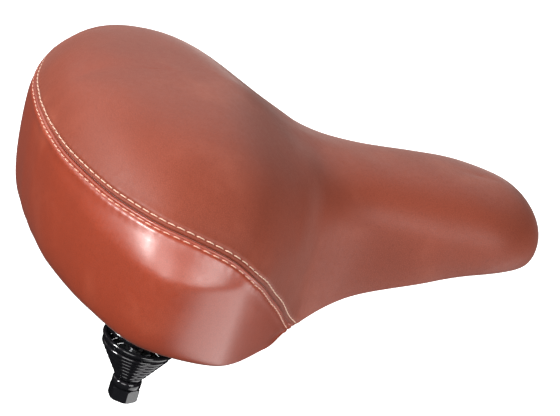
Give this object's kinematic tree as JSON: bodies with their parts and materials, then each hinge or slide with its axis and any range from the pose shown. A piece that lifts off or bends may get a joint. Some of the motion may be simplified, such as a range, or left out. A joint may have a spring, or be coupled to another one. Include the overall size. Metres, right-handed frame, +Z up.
{
  "type": "bicycle saddle",
  "caption": "Wide sprung bicycle saddle: padded two-panel cover on a moulded shell, hinged at the nose over twin rear coil springs, with wire rails and a seatpost clamp.",
  "frame": {"origin": "centre of the mouth of the seatpost socket, at the clamp band's bottom face", "axes": "+X forward to the nose, +Y to the rider's left, +Z up along the seatpost"},
  "size_m": [0.2659, 0.2496, 0.1443],
  "materials": {
    "leather_top": "satin red-brown synthetic leather with a fine grain",
    "leather_rear": "smooth red-brown synthetic leather, glossier than the top",
    "foam": "moulded cream polyurethane foam",
    "shell_plastic": "black moulded polypropylene, lightly textured",
    "black_paint": "gloss black paint on steel",
    "clamp_steel": "satin black plated steel",
    "zinc_steel": "bright zinc plate"
  },
  "bodies": {
    "post_clamp": {"clamp_band": "clamp_steel"},
    "clamp_head": {"clamp_bolt": "clamp_steel", "clamp_nut_left": "clamp_steel", "clamp_nut_right": "clamp_steel", "clamp_washer_left": "clamp_steel", "clamp_washer_right": "clamp_steel", "clamp_inner_cheek_left": "clamp_steel", "clamp_inner_cheek_right": "clamp_steel", "clamp_outer_cap_left": "clamp_steel", "clamp_outer_cap_right": "clamp_steel"},
    "chassis": {"rail_frame": "black_paint", "spring_bolt_left": "black_paint", "spring_bolt_right": "black_paint", "spring_nut_left": "zinc_steel", "spring_nut_right": "zinc_steel", "spring_washer_left": "zinc_steel", "spring_washer_right": "zinc_steel", "spring_left": "black_paint", "spring_right": "black_paint"},
    "seat": {"cover_top_panel": "leather_top", "cover_rear_panel": "leather_rear", "foam_pad": "foam", "base_shell": "shell_plastic", "nose_bracket": "black_paint", "nose_screw_front": "zinc_steel", "nose_screw_rear": "zinc_steel", "spring_clip_left": "zinc_steel", "spring_clip_right": "zinc_steel", "spring_clip_screw_left": "zinc_steel", "spring_clip_screw_right": "zinc_steel"}
  },
  "joints": [
    {"name": "head_tilt", "type": "hinge", "parent": "post_clamp", "child": "clamp_head", "pos_m": [-0.0262, 0, 0.016], "axis": [0, 1, 0], "range_deg": [-14, 14]},
    {"name": "rail_slide", "type": "slide", "parent": "clamp_head", "child": "chassis", "axis": [1, 0, 0], "range_m": [-0.015, 0.009]},
    {"name": "seat_suspension", "type": "hinge", "parent": "chassis", "child": "seat", "pos_m": [0.103, 0, 0.066], "axis": [0, -1, 0], "range_deg": [0, 5], "stiffness_Nm_per_rad": 950, "deforming": ["spring_left", "spring_right"]}
  ]
}
